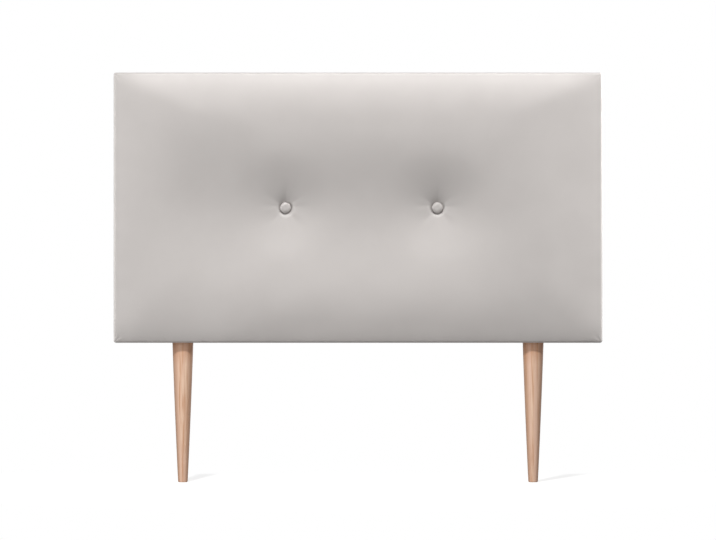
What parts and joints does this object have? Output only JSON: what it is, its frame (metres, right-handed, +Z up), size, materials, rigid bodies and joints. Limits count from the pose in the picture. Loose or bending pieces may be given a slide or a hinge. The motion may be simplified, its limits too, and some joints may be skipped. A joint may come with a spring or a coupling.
{
  "type": "upholstered headboard",
  "caption": "Button-tufted leatherette headboard: a crowned padded panel on a hidden timber frame, standing on tapered turned wooden legs, with keyhole plates on its back.",
  "frame": {"origin": "on the floor, in the middle of the panel's width and of the whole depth", "axes": "+X to the right seen from the front, +Y to the back towards the wall, +Z up; the padded front faces -Y"},
  "size_m": [1, 0.0882, 0.84],
  "materials": {
    "leatherette": "pearl grey coated leatherette, fine grain, satin",
    "beech": "turned beech, clear matt lacquer",
    "pine": "planed pine, raw",
    "hardboard": "smooth hardboard, raw",
    "foam": "open-cell polyurethane foam",
    "back_cloth": "black spunbonded non-woven",
    "twine": "waxed nylon tufting twine",
    "button_aluminium": "pressed aluminium",
    "zinc_steel": "zinc-plated steel",
    "insert_steel": "yellow-passivated zinc-plated steel",
    "staple_steel": "galvanised wire",
    "anchor_plastic": "moulded nylon"
  },
  "bodies": {
    "root": {"back_cloth": "back_cloth", "board_staples": "staple_steel", "button_back_left": "zinc_steel", "button_back_right": "zinc_steel", "button_cover_left": "leatherette", "button_cover_right": "leatherette", "button_shell_left": "button_aluminium", "button_shell_right": "button_aluminium", "cloth_staples": "staple_steel", "corner_blocks": "pine", "cover_staples": "staple_steel", "foam_pad": "foam", "frame_bottom_rail": "pine", "frame_centre_stile": "pine", "frame_left_stile": "pine", "frame_right_stile": "pine", "frame_screws": "zinc_steel", "frame_top_rail": "pine", "front_board": "hardboard", "hanger_bolt_left": "zinc_steel", "hanger_bolt_right": "zinc_steel", "insert_nut_left": "insert_steel", "insert_nut_right": "insert_steel", "leg_left": "beech", "leg_right": "beech", "plate_screws": "zinc_steel", "tuft_anchor_left": "anchor_plastic", "tuft_anchor_right": "anchor_plastic", "tufting_twine_left": "twine", "tufting_twine_right": "twine", "upholstery_cover": "leatherette", "wall_plate_left": "zinc_steel", "wall_plate_right": "zinc_steel"}
  },
  "joints": []
}
